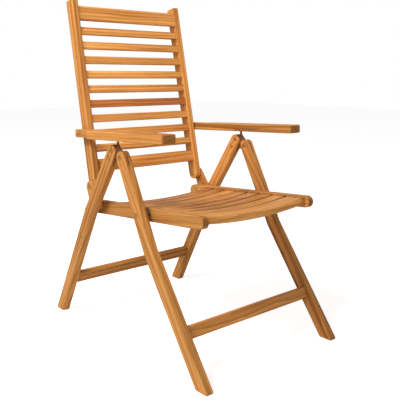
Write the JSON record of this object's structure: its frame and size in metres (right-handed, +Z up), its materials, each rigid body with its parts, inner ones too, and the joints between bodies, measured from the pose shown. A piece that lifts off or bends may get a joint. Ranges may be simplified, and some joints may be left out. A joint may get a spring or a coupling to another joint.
{
  "type": "folding armchair",
  "caption": "Folding slatted hardwood armchair with a high reclining back, notched lifting armrests, a dished seat and splayed legs that fold flat",
  "frame": {"origin": "on the floor, in the middle of the four feet", "axes": "+Z up; the sitter faces -Y; +X is the sitter's left; the pivots run along X"},
  "size_m": [0.5846, 0.8119, 1.0937],
  "materials": {
    "teak": "oiled teak",
    "teak_red": "oiled teak, redder board",
    "bolt_brass": "yellow-zinc plated",
    "hinge_steel": "dark coated steel",
    "link_steel": "zinc-plated steel",
    "washer_steel": "zinc-plated steel"
  },
  "bodies": {
    "frame": {"front_leg_left": "teak", "front_leg_right": "teak", "front_stretcher": "teak", "hinge_bolts": "bolt_brass", "seat_bolts": "bolt_brass", "seat_spacers": "washer_steel"},
    "rear_legs": {"rear_leg_left": "teak", "rear_leg_right": "teak", "rear_stretcher": "teak", "hinge_plate_left": "hinge_steel", "hinge_plate_right": "hinge_steel", "plate_bolts": "bolt_brass", "leg_link_bolts": "bolt_brass"},
    "links": {"link_left": "link_steel", "link_right": "link_steel"},
    "seat": {"seat_rail_left": "teak", "seat_rail_right": "teak", "cheek_left": "teak", "cheek_right": "teak", "seat_front_slat": "teak", "seat_slat_1": "teak", "seat_slat_2": "teak", "seat_slat_3": "teak", "seat_slat_4": "teak", "seat_slat_5": "teak", "seat_slat_6": "teak", "seat_slat_7": "teak", "seat_link_pins": "bolt_brass"},
    "back_pins": {"back_bolts": "bolt_brass"},
    "back": {"stile_left": "teak", "stile_right": "teak", "back_top_rail": "teak", "back_bottom_rail": "teak", "back_slat_1": "teak", "back_slat_2": "teak", "back_slat_3": "teak", "back_slat_4": "teak", "back_slat_5": "teak", "back_slat_6": "teak_red", "back_slat_7": "teak", "back_slat_8": "teak", "back_slat_9": "teak"},
    "arm_pins": {"arm_bolts": "bolt_brass", "arm_washers": "washer_steel"},
    "arm_left": {"arm_left": "teak"},
    "arm_right": {"arm_right": "teak"}
  },
  "joints": [
    {"name": "legs_fold", "type": "hinge", "parent": "frame", "child": "rear_legs", "pos_m": [0, -0.007, 0.588], "axis": [1, 0, 0], "range_deg": [-60, 0]},
    {"name": "link_fold", "type": "hinge", "parent": "rear_legs", "child": "links", "pos_m": [0, 0.22917, 0.3013], "axis": [1, 0, 0], "range_deg": [-133, 0]},
    {"name": "seat_fold", "type": "hinge", "parent": "frame", "child": "seat", "pos_m": [0, -0.0931, 0.4264], "axis": [1, 0, 0], "range_deg": [-94, 0]},
    {"name": "back_fold", "type": "hinge", "parent": "seat", "child": "back_pins", "pos_m": [0, 0.2256, 0.4625], "axis": [1, 0, 0], "range_deg": [0, 99]},
    {"name": "back_recline", "type": "hinge", "parent": "back_pins", "child": "back", "pos_m": [0, 0.2256, 0.4625], "axis": [-1, 0, 0], "range_deg": [0, 21]},
    {"name": "arm_fold", "type": "hinge", "parent": "back", "child": "arm_pins", "pos_m": [0, 0.26547, 0.63998], "axis": [1, 0, 0], "range_deg": [-132, 0]},
    {"name": "arm_lift_left", "type": "hinge", "parent": "arm_pins", "child": "arm_left", "pos_m": [0, 0.26547, 0.63998], "axis": [-1, 0, 0], "range_deg": [0, 70]},
    {"name": "arm_lift_right", "type": "hinge", "parent": "arm_pins", "child": "arm_right", "pos_m": [0, 0.26547, 0.63998], "axis": [-1, 0, 0], "range_deg": [0, 70]}
  ],
  "couplings": [
    {"joint": "link_fold", "follows": "legs_fold", "ratio": 2.215},
    {"joint": "seat_fold", "follows": "legs_fold", "ratio": 1.56},
    {"joint": "back_fold", "follows": "legs_fold", "ratio": -1.6417},
    {"joint": "arm_fold", "follows": "legs_fold", "ratio": 2.2}
  ]
}
